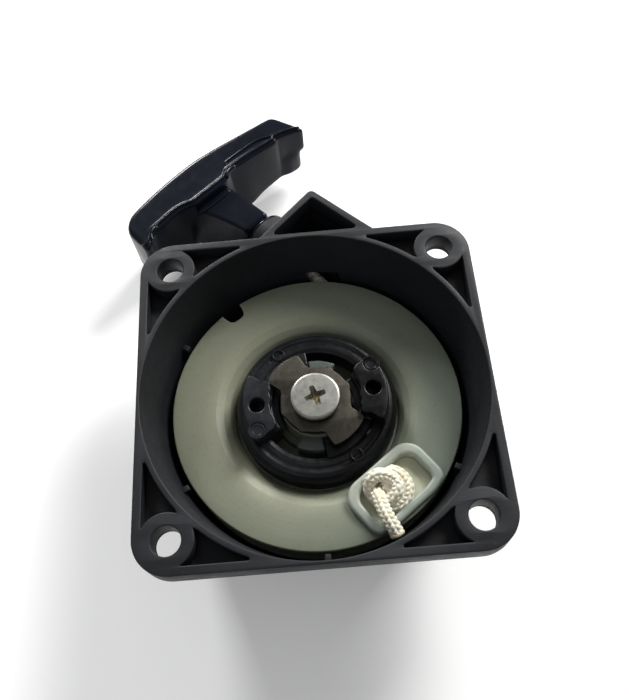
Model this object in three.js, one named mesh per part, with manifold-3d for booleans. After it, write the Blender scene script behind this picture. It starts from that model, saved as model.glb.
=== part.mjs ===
// Recoil (rope) starter for a small engine, in millimetres.
// The closed back of the housing lies on z = 0 and the engine side opens towards +Z.
// The reel turns about the Z axis. Positive X runs to the right of the rope horn.
import * as THREE from 'three';
import { mergeVertices } from 'three/addons/utils/BufferGeometryUtils.js';
import Module from 'manifold-3d';

const wasm = await Module();
wasm.setup();

// ---------------------------------------------------------------- driving dimensions
const RUNNING = 0.1; // radial clearance of a turning fit

const RIM_Z = 35; // engine-side face of the housing
const FLOOR = 2.4; // thickness of the closed back
const SIDE = 88; // square mounting flange
const CORNER_R = 9;
const FLANGE = 6.5; // depth of the flange corners
const WEB = 1.8; // floor of the corner pockets
const SKIN = 2.2; // side walls of the flange
const PITCH = 72; // mounting holes, a square
const HOLE_R = 3.5;
const BOSS_R = 6.6;
const CUP_RIM_R = 43.1; // inside of the cup at the rim
const CUP_WALL = 1.4;

const ROPE_R = 1.75; // 3.5 mm rope
const KNOT_ROPE_R = 1.4; // the same rope, drawn tight in a knot
const ROPE_Z = 14; // rope on its way out
const PULL_ANGLE = 129.5; // direction of the pull, from +X
const PULL_RADIUS = 29; // rope line to reel axis

const POST_R = 6.5;
const POST_TOP = 22.6;
const REEL_R = 38.2;
const REEL_FACE = 19.5;
const REEL_BACK = 7.2;
const FLANGE_T = 1.4; // reel flanges
const WELL_R = 22;
const DRUM_R = 23.3;
const HUB_POST_R = 9.4;
const WEB_Z = 12.2; // web of the reel, underside
const WEB_TOP = 13.8;

const HUB_R = 21.2;
const HUB_BASE = 14.1;
const HUB_RING_TOP = 21;
const DOG_TOP = 26;
const SLOT = { from: 35, to: 97, inner: 11.4, outer: 15 }; // lost-motion slot, degrees
const LUG = { from: 63, to: 96.4, outer: 12.7 }; // reel lug inside that slot

const PLATE_Z = 22.9;
const PLATE_T = 1.2;
const SHANK_R = 2.9; // M6 centre screw

const GRIP = { bottom: 5.4, top: 23.8, half: 31.8 };
const STEM = { tip: 54.4, root: 73, bottom: 8.4, top: 20.5 };
const CHAMBER = { r: 6.9, floor: 73.8 }; // knot chamber in the back of the grip

// ---------------------------------------------------------------- small helpers
const TAU = Math.PI * 2;
const rad = (degrees) => (degrees * Math.PI) / 180;
const polar = (r, degrees) => new THREE.Vector2(r * Math.cos(rad(degrees)), r * Math.sin(rad(degrees)));

// a three.js geometry as a manifold-3d solid, faces outward
function solid(geometry) {
  const bare = geometry.index ? geometry.toNonIndexed() : geometry.clone();
  bare.deleteAttribute('normal');
  bare.deleteAttribute('uv');
  const merged = mergeVertices(bare, 1e-4);
  const position = merged.attributes.position.array;
  const index = Uint32Array.from(merged.index.array);
  const triVerts = dropSlivers(index);
  if (signedVolume(position, triVerts) < 0) flip(triVerts);
  return new wasm.Manifold(new wasm.Mesh({ numProp: 3, vertProperties: position, triVerts }));
}

function dropSlivers(index) {
  const kept = [];
  for (let i = 0; i < index.length; i += 3) {
    const [a, b, c] = index.slice(i, i + 3);
    if (a !== b && b !== c && c !== a) kept.push(a, b, c);
  }
  return Uint32Array.from(kept);
}

function signedVolume(p, tri) {
  let sum = 0;
  const [a, b, c] = [new THREE.Vector3(), new THREE.Vector3(), new THREE.Vector3()];
  for (let i = 0; i < tri.length; i += 3) {
    a.fromArray(p, tri[i] * 3);
    b.fromArray(p, tri[i + 1] * 3);
    c.fromArray(p, tri[i + 2] * 3);
    sum += a.dot(b.cross(c));
  }
  return sum / 6;
}

function flip(tri) {
  for (let i = 0; i < tri.length; i += 3) {
    const keep = tri[i + 1];
    tri[i + 1] = tri[i + 2];
    tri[i + 2] = keep;
  }
}

const union = (parts) => parts.reduce((whole, part) => whole.add(part));
const cut = (whole, parts) => parts.reduce((rest, part) => rest.subtract(part), whole);

// a profile of [radius, z] points turned about Z, closed on itself or on the axis
function turned(profile, segments = 48) {
  const points = profile.map(([r, z]) => new THREE.Vector2(r, z));
  if (profile[0][0] > 0) points.push(points[0].clone());
  return solid(new THREE.LatheGeometry(points, segments).rotateX(Math.PI / 2));
}

const ring = (inner, outer, bottom, top, segments = 32) =>
  turned([[inner, bottom], [outer, bottom], [outer, top], [inner, top]], segments);
const disc = (r, bottom, top, segments = 48) =>
  turned([[0, bottom], [r, bottom], [r, top], [0, top]], segments);

function prism(shape, bottom, top, curveSegments = 8) {
  const options = { depth: top - bottom, bevelEnabled: false, curveSegments };
  return solid(new THREE.ExtrudeGeometry(shape, options).translate(0, 0, bottom));
}

function roundedRect(width, height, r, x = 0, y = 0) {
  const [w, h] = [width / 2, height / 2];
  const shape = new THREE.Shape();
  shape.absarc(x + w - r, y + h - r, r, 0, TAU / 4);
  shape.absarc(x - w + r, y + h - r, r, TAU / 4, TAU / 2);
  shape.absarc(x - w + r, y - h + r, r, TAU / 2, (3 * TAU) / 4);
  shape.absarc(x + w - r, y - h + r, r, (3 * TAU) / 4, TAU);
  return shape;
}

function sectorShape(inner, outer, from, to) {
  const shape = new THREE.Shape();
  shape.absarc(0, 0, outer, rad(from), rad(to), false);
  shape.absarc(0, 0, inner, rad(to), rad(from), true);
  shape.closePath();
  return shape;
}

const sector = (inner, outer, from, to, bottom, top) =>
  prism(sectorShape(inner, outer, from, to), bottom, top, 10);

function block(width, depth, bottom, top, x = 0, y = 0) {
  const box = new THREE.BoxGeometry(width, depth, top - bottom);
  return solid(box.translate(x, y, (top + bottom) / 2));
}

// a solid round bar along +Y of the pull frame, from one distance to another
function bar(r, from, to, z, segments = 24, endR = r) {
  const geometry = new THREE.CylinderGeometry(endR, r, to - from, segments);
  return solid(geometry.translate(0, (from + to) / 2, z));
}

const turnedBy = (part, degrees) => part.rotate([0, 0, degrees]);

// from the pull frame (X across, Y along the pull, origin where rope leaves reel) to the part's frame
const pullOrigin = polar(PULL_RADIUS, PULL_ANGLE - 90);
function placeOnPull(part) {
  return part.rotate([0, 0, PULL_ANGLE - 90]).translate([pullOrigin.x, pullOrigin.y, 0]);
}

// a curve through given points, stepped point by point so that neighbouring turns line up
class Route extends THREE.Curve {
  constructor(points) {
    super();
    this.points = points;
  }
  getUtoTmapping(u) {
    return u;
  }
  getPoint(t, target = new THREE.Vector3()) {
    const place = t * (this.points.length - 1);
    const i = Math.min(Math.floor(place), this.points.length - 2);
    return target.lerpVectors(this.points[i], this.points[i + 1], place - i);
  }
}

function tube(curve, r, steps, sides = 8) {
  const section = new THREE.Shape();
  for (let i = 0; i < sides; i += 1) {
    const p = polar(r, (360 * i) / sides);
    if (i === 0) section.moveTo(p.x, p.y);
    else section.lineTo(p.x, p.y);
  }
  return solid(new THREE.ExtrudeGeometry(section, { steps, bevelEnabled: false, extrudePath: curve }));
}

const smooth = (points) => new THREE.CatmullRomCurve3(points, false, 'centripetal');

// ---------------------------------------------------------------- materials
const look = (color, roughness, metalness = 0) =>
  new THREE.MeshStandardMaterial({ color, roughness, metalness });
const LOOKS = {
  housing: look(0x2b2c2f, 0.6),
  grip: look(0x14161c, 0.25),
  reel: look(0xb4b9a6, 0.45),
  hub: look(0x24262a, 0.4),
  plate: look(0x6a665f, 0.4, 1),
  screw: look(0xb5b5ad, 0.45, 1),
  darkSteel: look(0x35342f, 0.5, 1),
  springSteel: look(0x5a5f66, 0.35, 1),
  brass: look(0xa98d4f, 0.4, 1),
  rope: look(0xe8e3d2, 0.85),
  guide: look(0x2c3040, 0.35),
};

// ---------------------------------------------------------------- housing
const CUP_INSIDE = [[CUP_RIM_R, RIM_Z], [42.4, 29], [41.3, 23], [40, 17], [39.4, 12], [38.9, 7], [38, 4.2]];
const CUP_FLOOR_R = 36;
const CUP_OUTSIDE = [[35.5, 0], [37.8, 1.2], [39.3, 4], [40.3, 8], [40.9, 12], [42.4, 21.5], [43.6, 29]];
const CUP_RIM = [CUP_RIM_R + CUP_WALL, RIM_Z];
const BACK_GROOVE = { inner: 13, outer: 14.5, depth: 0.8 };
const HORN = { left: [-12.6, 43], apex: [3.3, 58.9], right: [19.8, 43.4] };
const HORN_REACH = { outside: 32, inside: 17.8 }; // from the apex towards the cup
const HORN_WALL = { thick: 1.8, bottom: 4, r: 1.8 };
const HORN_WINDOW = { width: 6.8, depth: 15, middle: 29.5, bottom: 8.5, top: 20.4 };
const GUIDE_BOSS = { r: 7.2, from: 40.2, to: 53, bore: 4.3 };
const NUB = { angles: [150, 210, 270, 330], inner: 39, outer: 41.5, width: 1.6, bottom: 12, top: 20.3 };
const INSERT = { r: 4.4, bottom: 8.8 };

function cup() {
  return turned([[0, 0], ...CUP_OUTSIDE, CUP_RIM, ...CUP_INSIDE, [CUP_FLOOR_R, FLOOR], [0, FLOOR]]);
}

function cupCavity() {
  const above = [[CUP_RIM_R, RIM_Z + 1], [0, RIM_Z + 1]];
  return turned([[0, FLOOR], [CUP_FLOOR_R, FLOOR], ...[...CUP_INSIDE].reverse(), ...above]);
}

// the cup filled to the brim and beyond, which keeps its wall whole where the horn is hollowed
function cupFilled() {
  return turned([[0, 0], ...CUP_OUTSIDE, CUP_RIM, [CUP_RIM[0], RIM_Z + 2], [0, RIM_Z + 2]]);
}

function flangeCorners() {
  const base = RIM_Z - FLANGE;
  const plate = prism(roundedRect(SIDE, SIDE, CORNER_R), base, RIM_Z, 6);
  const inset = SIDE - 2 * SKIN;
  const hollow = prism(roundedRect(inset, inset, CORNER_R - SKIN), base + WEB, RIM_Z + 1, 6);
  const half = PITCH / 2;
  const corners = [[half, half], [-half, half], [-half, -half], [half, -half]];
  const bosses = corners.map(([x, y]) => disc(BOSS_R, base, RIM_Z + 2, 24).translate([x, y, 0]));
  const holes = corners.map(([x, y]) => disc(HOLE_R, base - 1, RIM_Z + 3, 24).translate([x, y, 0]));
  const pockets = cut(hollow, [disc(CUP_RIM_R + CUP_WALL, base, RIM_Z + 2), ...bosses]);
  return cut(plate, [pockets, ...holes]);
}

function hornShape(inset, reach) {
  const { left, apex, right } = HORN;
  const corner = new THREE.Vector2(...apex);
  const towardLeft = new THREE.Vector2(...left).sub(corner).normalize();
  const towardRight = new THREE.Vector2(...right).sub(corner).normalize();
  const half = Math.acos(towardLeft.dot(towardRight)) / 2;
  const inner = corner.clone().add(new THREE.Vector2(0, -inset / Math.sin(half)));
  const soft = Math.max(HORN_WALL.r - inset, 0.4) / Math.tan(half);
  const shape = new THREE.Shape();
  const at = (direction, distance) => inner.clone().addScaledVector(direction, distance);
  const [start, end] = [at(towardRight, soft), at(towardLeft, soft)];
  shape.moveTo(...at(towardRight, reach).toArray());
  shape.lineTo(...start.toArray());
  shape.quadraticCurveTo(inner.x, inner.y, end.x, end.y);
  shape.lineTo(...at(towardLeft, reach).toArray());
  shape.closePath();
  return shape;
}

function housing() {
  const { thick, bottom } = HORN_WALL;
  const horn = prism(hornShape(0, HORN_REACH.outside), bottom, RIM_Z, 6);
  const boss = placeOnPull(bar(GUIDE_BOSS.r, GUIDE_BOSS.from, GUIDE_BOSS.to, ROPE_Z));
  const nub = block(NUB.outer - NUB.inner, NUB.width, NUB.bottom, NUB.top, (NUB.inner + NUB.outer) / 2);
  const nubs = NUB.angles.map((angle) => turnedBy(nub, angle));
  const post = disc(POST_R, FLOOR - 0.2, POST_TOP);
  const caseRing = ring(28, 29.4, FLOOR - 0.2, 5);
  const outer = union([cup(), flangeCorners(), horn, boss]);
  const inHorn = hornShape(thick, HORN_REACH.inside);
  const hollowHorn = cut(prism(inHorn, bottom + thick, RIM_Z + 1, 6), [cupFilled()]);
  const { width, depth, middle } = HORN_WINDOW;
  const window = placeOnPull(block(width, depth, HORN_WINDOW.bottom, HORN_WINDOW.top, 0, middle));
  const bore = placeOnPull(bar(GUIDE_BOSS.bore, 36, GUIDE_BOSS.to + 1, ROPE_Z));
  const shell = cut(outer, [cupCavity(), hollowHorn, window, bore]);
  const groove = ring(BACK_GROOVE.inner, BACK_GROOVE.outer, -1, BACK_GROOVE.depth);
  const insertBore = disc(INSERT.r, INSERT.bottom, POST_TOP + 1, 24);
  return cut(union([shell, post, caseRing, ...nubs]), [groove, insertBore]);
}

// ---------------------------------------------------------------- recoil spring and its case
const SPRING = { inner: 10.4, outer: 25, turns: 5.5, perTurn: 18, thick: 0.6, bottom: 3.5, top: 6.1 };
const CASE = { hole: 10, r: 27.4, wall: 0.6, bottom: 2.6, top: 6.2, cover: 0.4 };

function springCase() {
  const { hole, r, wall, bottom, top } = CASE;
  const side = [[r, bottom], [r, top], [r - wall, top], [r - wall, bottom + wall]];
  return turned([[hole, bottom], ...side, [hole, bottom + wall]], 32);
}

// thin lid that keeps the spring in its case when the reel is lifted off
const springCover = () => ring(CASE.hole, CASE.r, CASE.top + 0.1, CASE.top + 0.1 + CASE.cover);

function recoilSpring() {
  const { inner, outer, turns, perTurn, thick, bottom, top } = SPRING;
  const steps = perTurn * turns;
  const shape = new THREE.Shape();
  const point = (i, offset) => polar(inner + ((outer - inner) * i) / steps + offset, (i * 360) / perTurn);
  shape.moveTo(...point(0, 0).toArray());
  for (let i = 1; i <= steps; i += 1) shape.lineTo(...point(i, 0).toArray());
  for (let i = steps; i >= 0; i -= 1) shape.lineTo(...point(i, thick).toArray());
  shape.closePath();
  return prism(shape, bottom, top);
}

// ---------------------------------------------------------------- reel
const DISH = [[WELL_R, 15.3], [23.4, 17], [26.6, 18.5], [30.5, 19.3]];
const DISH_BACK = [[31, 17.9], [26.8, 17.2], [DRUM_R, 16]];
const POCKET = { r: 30.35, angle: -53, length: 23.6, width: 16, wall: 1.6, corner: 5 };
const POCKET_Z = { under: 16, floor: 17.2, lip: 21 };
const PILOT = { r: SLOT.inner - RUNNING, top: 19.5 }; // step that centres the drive hub
const NOTCH = { angle: 125.5, half: 2.5, depth: 5.6 };
const ROPE_HOLE = { r: 27, angle: -57, radius: 2.2 };

function ropeReel() {
  const bore = POST_R + RUNNING;
  const front = [...DISH, [REEL_R - 0.4, REEL_FACE], [REEL_R, REEL_FACE - 0.4]];
  const groove = [[REEL_R, REEL_FACE - FLANGE_T], ...DISH_BACK, [DRUM_R, REEL_BACK + FLANGE_T]];
  const back = [[REEL_R - 0.2, REEL_BACK + FLANGE_T], [REEL_R - 0.2, REEL_BACK], [WELL_R, REEL_BACK]];
  const underside = [[WELL_R, WEB_Z], [8.8, WEB_Z], [8.8, 3.6], [bore, 3.6]];
  const pilot = [[HUB_POST_R, PILOT.top], [PILOT.r, PILOT.top], [PILOT.r, WEB_TOP]];
  const hubPost = [[bore, 21.6], [HUB_POST_R, 21.6], ...pilot, [WELL_R, WEB_TOP]];
  const body = turned([...hubPost, ...front, ...groove, ...back, ...underside]);
  const lug = sector(HUB_POST_R - 0.3, LUG.outer, LUG.from, LUG.to, WEB_TOP - 0.1, HUB_RING_TOP - 0.2);
  const { r, angle, length, width, wall, corner } = POCKET;
  const { under, floor, lip } = POCKET_Z;
  const place = (part) => turnedBy(part.translate([r, 0, 0]), angle);
  const outline = roundedRect(width, length, corner);
  const tray = place(prism(outline, under, lip, 6)).intersect(disc(REEL_R, 0, RIM_Z))
    .subtract(disc(WELL_R + 0.4, 0, RIM_Z));
  const inside = roundedRect(width - 2 * wall, length - 2 * wall, corner - wall);
  const hollow = place(prism(inside, floor, lip + 1, 6));
  const notch = turnedBy(union([
    block(NOTCH.depth, 2 * NOTCH.half, 17, 20.5, REEL_R + 0.2),
    disc(NOTCH.half, 17, 20.5, 24).translate([REEL_R - NOTCH.depth / 2 + 0.1, 0, 0]),
  ]), NOTCH.angle);
  const hole = turnedBy(disc(ROPE_HOLE.radius, 12, 19, 20).translate([ROPE_HOLE.r, 0, 0]), ROPE_HOLE.angle);
  return cut(union([body, lug, turnedBy(lug, 180), tray]), [hollow, notch, hole]);
}

// ---------------------------------------------------------------- drive hub with its two dogs
const CAVITY = { inner: 15.8, outer: 19.5, top: 18.6 }; // room for the damper spring
const DOG = { outer: 18.8, from: 156, to: 204, inner: 11.6, hole: { x: -15.1, y: -1.1, r: 1.95, depth: 7 } };

function dog() {
  const shape = new THREE.Shape();
  shape.absarc(0, 0, DOG.outer, rad(DOG.from), rad(DOG.to), false);
  shape.absarc(-15.2, -7.9, 2.3, rad(225), rad(300), false);
  shape.lineTo(-12.6, -8.9);
  shape.quadraticCurveTo(-10.6, -7.9, -10.2, -6.4);
  shape.quadraticCurveTo(-11.7, -3.8, -11.8, -1.2);
  shape.quadraticCurveTo(-11.3, 0.6, -11.2, 1.9);
  shape.quadraticCurveTo(-12, 3.2, -11.4, 4.7);
  shape.lineTo(-13.9, 5.6);
  shape.closePath();
  const { x, y, r, depth } = DOG.hole;
  return prism(shape, HUB_RING_TOP - 1, DOG_TOP, 8)
    .subtract(disc(r, DOG_TOP - depth, DOG_TOP + 1, 24).translate([x, y, 0]));
}

function driveHub() {
  const outside = [[HUB_R, HUB_BASE], [HUB_R, 18.6], [20.6, 20.2], [19.4, HUB_RING_TOP]];
  const land = [[SLOT.outer, HUB_RING_TOP], [14.8, 22.6], [SLOT.inner, 22.6]];
  const slots = [0, 180].map((turn) =>
    sector(SLOT.inner - 1, SLOT.outer, SLOT.from + turn, SLOT.to + turn, HUB_BASE - 1, DOG_TOP));
  const lowLands = [[SLOT.to + 60, SLOT.from + 180], [SLOT.to + 240, SLOT.from + 360]].map(([from, to]) =>
    sector(SLOT.inner - 1, SLOT.outer + 0.2, from, to, HUB_RING_TOP, DOG_TOP));
  const cavity = ring(CAVITY.inner, CAVITY.outer, HUB_BASE - 1, CAVITY.top);
  const body = cut(turned([[SLOT.inner, HUB_BASE], ...outside, ...land]), [...slots, ...lowLands, cavity]);
  return union([body, dog(), turnedBy(dog(), 180)]);
}

const DAMPER = { r: 17.6, wire: 0.6, turns: 2.2, perTurn: 16, bottom: 14.9, pitch: 1.3 };

function damperSpring() {
  const points = [];
  const steps = Math.round(DAMPER.turns * DAMPER.perTurn);
  for (let i = 0; i <= steps; i += 1) {
    const p = polar(DAMPER.r, (i * 360) / DAMPER.perTurn);
    points.push(new THREE.Vector3(p.x, p.y, DAMPER.bottom + (DAMPER.pitch * i) / DAMPER.perTurn));
  }
  return tube(new Route(points), DAMPER.wire, steps, 5);
}

// ---------------------------------------------------------------- retaining stack on the post
const LOBE = { r: 13.6, from: 107.5, to: 155.5, waist: 9.1 };

function retainerPlate() {
  const lobe = sector(4, LOBE.r, LOBE.from, LOBE.to, PLATE_Z, PLATE_Z + PLATE_T);
  const waist = disc(LOBE.waist, PLATE_Z, PLATE_Z + PLATE_T, 32);
  const hole = disc(SHANK_R + RUNNING, PLATE_Z - 1, PLATE_Z + 3, 24);
  return cut(union([waist, lobe, turnedBy(lobe, 180)]), [hole]);
}

const WASHER_Z = PLATE_Z + PLATE_T + 0.1;
const HEAD = { bottom: WASHER_Z + 0.8, top: WASHER_Z + 2.2, r: 6.2 };

function centerScrew() {
  const { bottom, top, r } = HEAD;
  const shank = [[0, 11], [2.3, 11], [SHANK_R, 11.8], [SHANK_R, bottom]];
  const head = [[r - 0.2, bottom], [r, bottom + 0.3], [r, top - 0.4], [r - 0.5, top], [0, top]];
  const body = turned([...shank, ...head], 32);
  const recess = [0, 90].map((turn) => turnedBy(block(5.4, 1.1, top - 0.9, top + 1), turn + 20));
  const well = turned([[0, top - 2.4], [1, top - 2.4], [1.7, top + 0.5], [0, top + 0.5]], 16);
  return cut(body, [...recess, well]);
}

const postInsert = () => ring(SHANK_R + 0.15, INSERT.r - RUNNING, INSERT.bottom + 0.2, POST_TOP - 0.1, 24);
const thrustWasher = () => ring(POST_R + RUNNING, 9, 21.8, 22.5);
const screwWasher = () => ring(SHANK_R + 0.3, 5.6, WASHER_Z, HEAD.bottom - 0.1, 24);

// ---------------------------------------------------------------- rope
// Two columns and two layers on the drum, wound so that the pull turns the reel anticlockwise.
const COIL = { start: -40.5, step: 20, steps: 58 };
const LAYER = { inner: 25.5, outer: 29.07, upper: ROPE_Z, lower: ROPE_Z - 3.6 };

function coilPlace(angle) {
  const between = (from, to) => THREE.MathUtils.smoothstep(angle, from, to);
  const down = between(258, 322);
  const out = between(540, 602);
  const up = between(800, 862);
  const r = LAYER.inner + (LAYER.outer - LAYER.inner) * out;
  const z = LAYER.upper - (LAYER.upper - LAYER.lower) * (down - up);
  return { r, z };
}

// the end that comes down from the knot through the hole in the reel
const RISER = [
  [26.9, -57, 16.9], [26.9, -57, 15.9], [26.7, -56, 15], [26.2, -52.5, 14.3], [25.7, -47, ROPE_Z],
];

function ropeCoil() {
  const at = (r, angle, z) => new THREE.Vector3(...polar(r, angle).toArray(), z);
  const points = RISER.map(([r, angle, z]) => at(r, angle, z));
  for (let i = 0; i <= COIL.steps; i += 1) {
    const angle = COIL.start + i * COIL.step;
    const { r, z } = coilPlace(angle);
    points.push(at(r, angle, z));
  }
  return tube(new Route(points), ROPE_R, points.length - 1, 8);
}

// an overhand knot, as a trefoil that is opened at its outermost point
const KNOT = { R: 3.1, a: 1.55, open: 0.16, steps: 42 };

function knotPoints() {
  const points = [];
  for (let i = 0; i <= KNOT.steps; i += 1) {
    const t = KNOT.open + ((TAU - 2 * KNOT.open) * i) / KNOT.steps;
    const r = KNOT.R + KNOT.a * Math.cos(3 * t);
    points.push(new THREE.Vector3(r * Math.cos(2 * t), r * Math.sin(2 * t), KNOT.a * Math.sin(3 * t)));
  }
  return points;
}

// the knot in the reel's pocket, turned so that its cut end leaves over the outer lip
const KNOT_SEAT = { x: -0.1, y: -1.3, z: 20.3, turn: -106 };
const TAIL = [[2.6, -5.2, 21.6], [4.9, -5.9, 22.7], [7.2, -6.6, 23], [9.3, -7.3, 22.8]];

function ropeKnot() {
  const { x, y, z, turn } = KNOT_SEAT;
  const loop = knotPoints().map((p) =>
    p.applyAxisAngle(new THREE.Vector3(0, 0, 1), rad(turn)).add(new THREE.Vector3(x, y, z)));
  const route = [...loop, ...TAIL.map((point) => new THREE.Vector3(...point))];
  const part = tube(smooth(route), KNOT_ROPE_R, 54, 6);
  return turnedBy(part.translate([POCKET.r, 0, 0]), POCKET.angle);
}

function handleKnot() {
  const part = tube(smooth(knotPoints()), KNOT_ROPE_R, 40, 6).rotate([90, 0, 0]);
  return placeOnPull(part.translate([0, CHAMBER.floor + 5, ROPE_Z]));
}

const RUN = { from: 0.4, to: 75.6 };

function ropeRun() {
  const [start, end] = [RUN.from, RUN.to].map((along) => new THREE.Vector3(0, along, ROPE_Z));
  return placeOnPull(tube(new THREE.LineCurve3(start, end), ROPE_R, 8, 8));
}

// ---------------------------------------------------------------- rope guide and handle
function ropeGuide() {
  const barrel = [[2.3, 41.6], [3.3, 41.2], [4.1, 41.6], [4.1, 53.1]];
  const collar = [[6.2, 53.1], [6.2, 53.7], [5.6, 54.1], [3.2, 54.1], [2.3, 53.4]];
  const bush = turned([...barrel, ...collar], 24).rotate([-90, 0, 0]).translate([0, 0, ROPE_Z]);
  return placeOnPull(bush);
}

function gripShape() {
  const shape = new THREE.Shape();
  shape.moveTo(-GRIP.half, 69);
  shape.lineTo(-26.5, 71.4);
  shape.lineTo(-19, 72.8);
  shape.lineTo(12.5, 73);
  shape.lineTo(23.5, 71.5);
  shape.lineTo(GRIP.half - 0.4, 67.4);
  shape.lineTo(GRIP.half, 76);
  shape.lineTo(GRIP.half - 2, 78.4);
  shape.quadraticCurveTo(0, 89, -GRIP.half + 1.2, 79.6);
  shape.lineTo(-GRIP.half, 78);
  shape.closePath();
  return shape;
}

function handleGrip() {
  const bevel = 0.8;
  const options = { depth: GRIP.top - GRIP.bottom - 2 * bevel, bevelThickness: bevel, bevelSize: bevel,
    bevelOffset: -bevel, bevelSegments: 2, curveSegments: 16 };
  const grip = solid(new THREE.ExtrudeGeometry(gripShape(), options).translate(0, 0, GRIP.bottom + bevel));
  const inGrip = STEM.root + 3;
  const outline = [[-6, STEM.tip], [4, STEM.tip], [3, inGrip], [-10.9, inGrip]];
  const stemShape = new THREE.Shape(outline.map(([x, y]) => new THREE.Vector2(x, y)));
  const stem = prism(stemShape, STEM.bottom, STEM.top);
  const hole = bar(2.1, STEM.tip - 1, CHAMBER.floor + 1, ROPE_Z, 24);
  const chamber = bar(CHAMBER.r, CHAMBER.floor, 90, ROPE_Z, 24);
  return placeOnPull(cut(union([grip, stem]), [hole, chamber]));
}

const handleCap = () => placeOnPull(bar(CHAMBER.r - RUNNING, 82.4, 83.9, ROPE_Z, 24, CHAMBER.r - 0.5));

function knotWasher() {
  const washer = ring(2.1, 6.3, CHAMBER.floor + 0.2, CHAMBER.floor + 1.2, 24).rotate([-90, 0, 0]);
  return placeOnPull(washer.translate([0, 0, ROPE_Z]));
}

// ---------------------------------------------------------------- assembly
const starter = new THREE.Group();

function add(name, part, material) {
  const mesh = part.getMesh();
  const geometry = new THREE.BufferGeometry();
  geometry.setAttribute('position', new THREE.BufferAttribute(mesh.vertProperties, 3));
  geometry.setIndex(new THREE.BufferAttribute(mesh.triVerts, 1));
  geometry.computeVertexNormals();
  const node = new THREE.Mesh(geometry, material);
  node.name = name;
  starter.add(node);
}

add('housing', housing(), LOOKS.housing);
add('post_insert', postInsert(), LOOKS.brass);
add('spring_case', springCase(), LOOKS.darkSteel);
add('recoil_spring', recoilSpring(), LOOKS.springSteel);
add('spring_cover', springCover(), LOOKS.darkSteel);
add('rope_reel', ropeReel(), LOOKS.reel);
add('damper_spring', damperSpring(), LOOKS.springSteel);
add('drive_hub', driveHub(), LOOKS.hub);
add('thrust_washer', thrustWasher(), LOOKS.darkSteel);
add('retainer_plate', retainerPlate(), LOOKS.plate);
add('screw_washer', screwWasher(), LOOKS.darkSteel);
add('center_screw', centerScrew(), LOOKS.screw);
add('rope_coil', ropeCoil(), LOOKS.rope);
add('rope_knot', ropeKnot(), LOOKS.rope);
add('rope_run', ropeRun(), LOOKS.rope);
add('rope_guide', ropeGuide(), LOOKS.guide);
add('handle_grip', handleGrip(), LOOKS.grip);
add('handle_cap', handleCap(), LOOKS.grip);
add('knot_washer', knotWasher(), LOOKS.darkSteel);
add('handle_knot', handleKnot(), LOOKS.rope);

export default starter;
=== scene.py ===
"""Recoil (rope) starter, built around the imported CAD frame.

Shapes are worked out in millimetres in the frame of the CAD and turned into metres on the way into Blender.
The reel turns about Z, and the engine side faces +Z.
"""
import math

import bmesh
import bpy
import numpy as np
from mathutils import Matrix, Quaternion, Vector


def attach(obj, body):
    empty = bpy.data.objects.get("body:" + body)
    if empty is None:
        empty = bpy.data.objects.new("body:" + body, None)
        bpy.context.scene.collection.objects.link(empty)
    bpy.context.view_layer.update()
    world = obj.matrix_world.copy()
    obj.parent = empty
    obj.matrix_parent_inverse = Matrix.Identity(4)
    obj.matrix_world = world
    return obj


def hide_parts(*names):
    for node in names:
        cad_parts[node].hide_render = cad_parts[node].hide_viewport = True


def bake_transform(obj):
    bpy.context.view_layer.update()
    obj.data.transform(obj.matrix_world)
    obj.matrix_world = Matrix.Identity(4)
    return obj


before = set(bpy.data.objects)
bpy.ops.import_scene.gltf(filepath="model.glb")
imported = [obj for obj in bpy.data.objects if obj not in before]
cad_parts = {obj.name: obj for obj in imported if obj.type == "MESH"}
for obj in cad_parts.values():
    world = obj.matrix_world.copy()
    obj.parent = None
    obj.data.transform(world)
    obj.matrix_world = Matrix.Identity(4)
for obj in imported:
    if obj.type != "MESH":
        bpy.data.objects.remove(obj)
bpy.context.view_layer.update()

MM = 0.001
TAU = 2 * math.pi
TINY = 1e-6

# ---------------------------------------------------------------- dimensions in millimetres, as in the CAD
RIM_Z = 35.0  # engine-side face of the housing
FLANGE_BACK = 28.5
SIDE = 44.0  # half of the square flange
CORNER_R = 9.0
SKIN = 2.2  # side walls of the flange
HOLE_AT, HOLE_R = 36.0, 3.5  # mounting holes
BOSS_R = 6.6
CUP_IN_R, CUP_OUT_R = 43.1, 44.4  # at the rim
CUP_OUTSIDE = [(35.5, 0), (37.8, 1.2), (39.3, 4), (40.3, 8), (40.9, 12), (42.4, 21.5), (43.6, 29.2)]
CUP_INSIDE = [(42.4, 29), (41.3, 23), (40, 17), (39.4, 12), (38.9, 7), (38, 4.2)]
CUP_FLOOR = 2.4
POCKET_FLOOR = 30.3  # floor of the flange's corner pockets
HORN_BOTTOM, HORN_FLOOR, HORN_TOP = 4.0, 5.8, 29.6
GUIDE_BORE_R, GUIDE_BOSS_R, GUIDE_BOSS_FROM, GUIDE_BOSS_TO = 4.3, 7.2, 41, 53  # along the pull
APEX, LEFT_ROOT, RIGHT_ROOT = (3.3, 58.9), (-11.6, 44.0), (19.2, 44.0)  # corners of the rope horn
HORN_HOLLOW = [(-8.6, 44.55), (15.6, 44.55), (3.45, 56.2)]
POST_R, POST_TOP = 6.5, 22.6  # fixed post that the reel turns on

ROPE_Z = 14.0  # rope on its way out
PULL_ANGLE = 129.5  # direction of the pull, from +X
PULL_RADIUS = 29.0  # rope line to reel axis

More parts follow.
